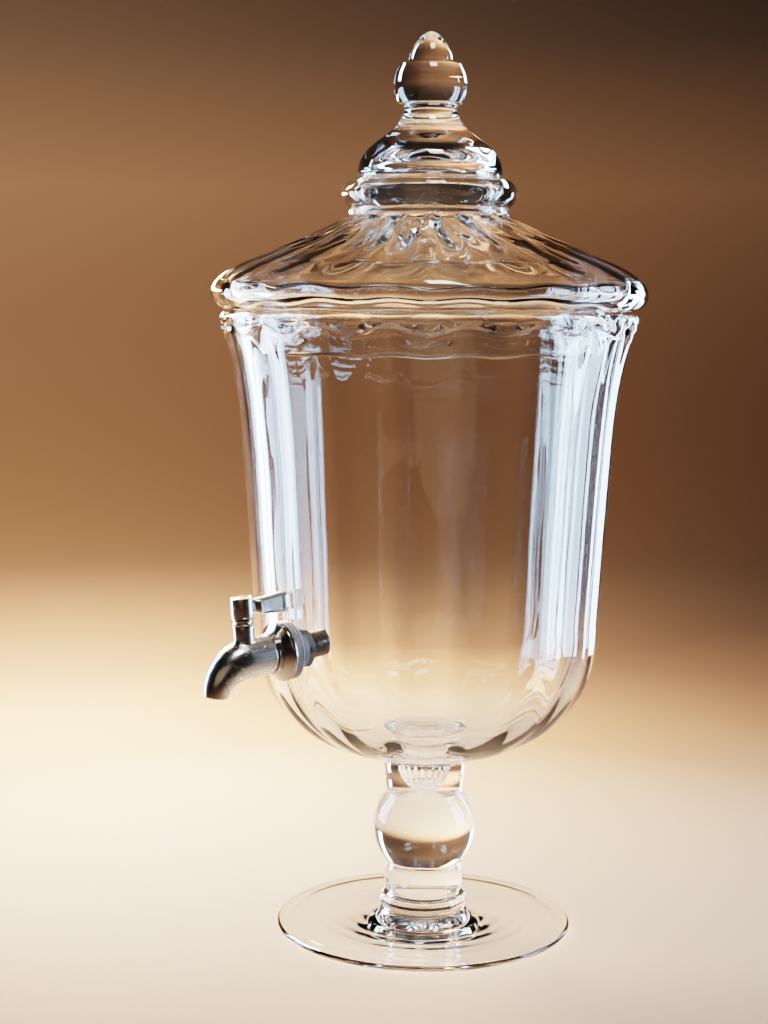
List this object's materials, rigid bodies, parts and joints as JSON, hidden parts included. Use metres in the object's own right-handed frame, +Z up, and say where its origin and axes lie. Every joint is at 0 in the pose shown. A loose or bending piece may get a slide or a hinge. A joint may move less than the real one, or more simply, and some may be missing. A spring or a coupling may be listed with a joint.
{
  "type": "countertop water dispenser",
  "caption": "Footed clear glass water dispenser: fluted bowl on a knopped stem, lift-off domed lid with finial, and a polished quarter-turn tap.",
  "frame": {"origin": "centre of the flat underside of the glass foot, on the surface it stands on", "axes": "+Z up the stem to the tip of the finial, -Y outwards along the tap, +X to the left of someone who faces the tap"},
  "size_m": [0.2652, 0.2937, 0.55],
  "materials": {
    "clear_glass": "clear polished glass",
    "polished_steel": "polished stainless steel",
    "turned_steel": "turned stainless steel with a light oil film",
    "grey_silicone": "soft matte silicone",
    "dark_silicone": "matte dark silicone",
    "ptfe": "waxy white low-friction plastic"
  },
  "bodies": {
    "dispenser": {"glass_foot": "clear_glass", "glass_collar": "clear_glass", "glass_stem": "clear_glass", "glass_bowl": "clear_glass", "outer_gasket": "grey_silicone", "inner_gasket": "dark_silicone", "lock_nut": "turned_steel", "tap_tailpiece": "polished_steel", "tap_body": "polished_steel", "tail_seal": "ptfe", "ball_seat_rear": "ptfe", "ball_seat_front": "ptfe", "gland_washer": "ptfe", "packing_nut": "polished_steel"},
    "lid": {"glass_lid": "clear_glass", "glass_crown": "clear_glass", "glass_finial": "clear_glass"},
    "lever": {"lever_handle": "polished_steel", "lever_cap": "polished_steel", "lever_screw": "turned_steel", "spindle": "turned_steel", "valve_ball": "polished_steel", "spindle_oring_lower": "dark_silicone", "spindle_oring_upper": "dark_silicone"}
  },
  "joints": [
    {"name": "lid_lift", "type": "slide", "parent": "dispenser", "child": "lid", "axis": [0, 0, 1], "range_m": [0, 0.14]},
    {"name": "lever_turn", "type": "hinge", "parent": "dispenser", "child": "lever", "pos_m": [0, -0.1351, 0.18352], "axis": [0, -0.0802, 0.9968], "range_deg": [0, 90]}
  ]
}
